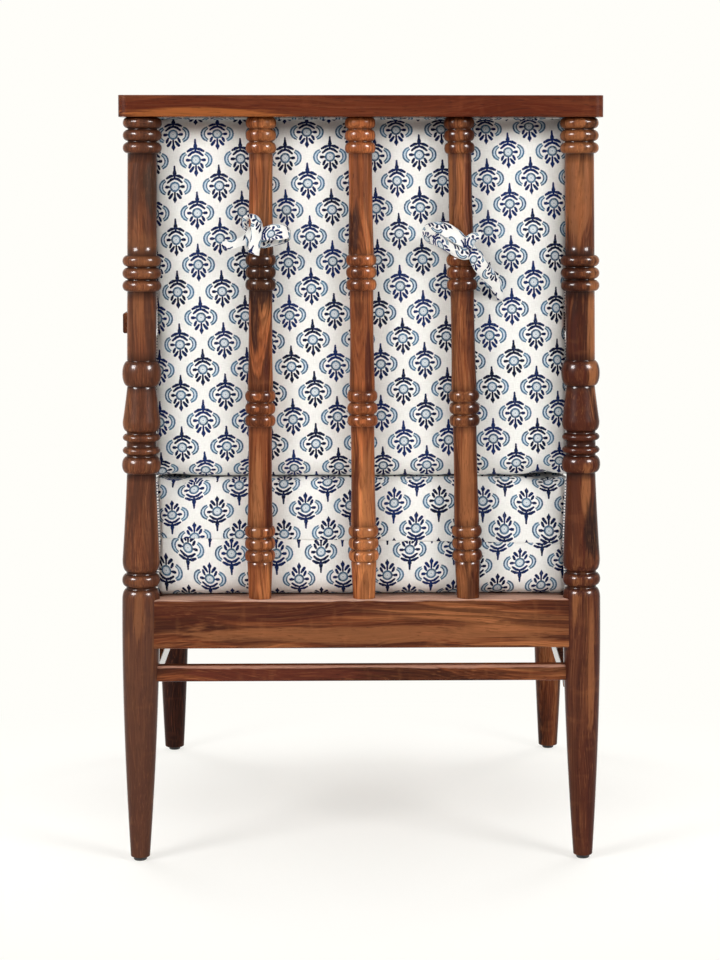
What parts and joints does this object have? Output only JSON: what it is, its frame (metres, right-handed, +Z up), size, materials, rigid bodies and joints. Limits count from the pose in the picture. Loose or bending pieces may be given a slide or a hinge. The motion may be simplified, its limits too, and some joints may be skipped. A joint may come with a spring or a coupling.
{
  "type": "armchair",
  "caption": "Turned hardwood armchair with a flat top rail, turned back spindles, flat arms, a box seat cushion and a tied back cushion in block-printed cotton.",
  "frame": {"origin": "on the floor under the middle of the chair's outline", "axes": "+Z up, the chair faces -Y and its back is at +Y, +X is at the sitter's left"},
  "size_m": [0.6189, 0.656, 0.97],
  "materials": {
    "hardwood": "satin lacquer over streaked brown hardwood",
    "plywood": "sanded plywood",
    "softwood": "planed and unfinished",
    "screw_steel": "zinc plated",
    "glide_plastic": "matt black",
    "printed_cotton": "plain-woven cotton with a navy and light blue block print",
    "foam": "upholstery foam",
    "striped_piping": "cotton piping with narrow blue and white stripes",
    "zip_tape": "woven tape with a closed coil zip",
    "tie_cotton": "folded cotton strip with the cushions' print"
  },
  "bodies": {
    "chair": {"back_post_left": "hardwood", "back_post_right": "hardwood", "top_rail": "hardwood", "back_spindle_left": "hardwood", "back_spindle_middle": "hardwood", "back_spindle_right": "hardwood", "back_seat_rail": "hardwood", "front_seat_rail": "hardwood", "side_seat_rail_left": "hardwood", "side_seat_rail_right": "hardwood", "front_post_left": "hardwood", "front_post_right": "hardwood", "arm_left": "hardwood", "arm_right": "hardwood", "back_stretcher": "hardwood", "front_stretcher": "hardwood", "side_stretcher_left": "hardwood", "side_stretcher_right": "hardwood", "seat_deck": "plywood", "batten_back": "softwood", "batten_front": "softwood", "batten_left": "softwood", "batten_right": "softwood", "corner_block_back_left": "softwood", "corner_block_back_right": "softwood", "corner_block_front_left": "softwood", "corner_block_front_right": "softwood", "batten_screws": "screw_steel", "deck_screws": "screw_steel", "corner_screws": "screw_steel", "foot_glides": "glide_plastic", "glide_nails": "screw_steel", "back_cushion_cover": "printed_cotton", "back_cushion_foam": "foam", "back_cushion_piping": "striped_piping", "back_cushion_zip": "zip_tape", "back_tie_left": "tie_cotton", "back_tie_right": "tie_cotton"},
    "seat_cushion": {"seat_cushion_cover": "printed_cotton", "seat_cushion_foam": "foam", "seat_cushion_piping": "striped_piping", "seat_cushion_zip": "zip_tape"}
  },
  "joints": [
    {"name": "seat_cushion_slide", "type": "slide", "parent": "chair", "child": "seat_cushion", "axis": [0, -1, 0], "range_m": [0, 0.62]}
  ]
}
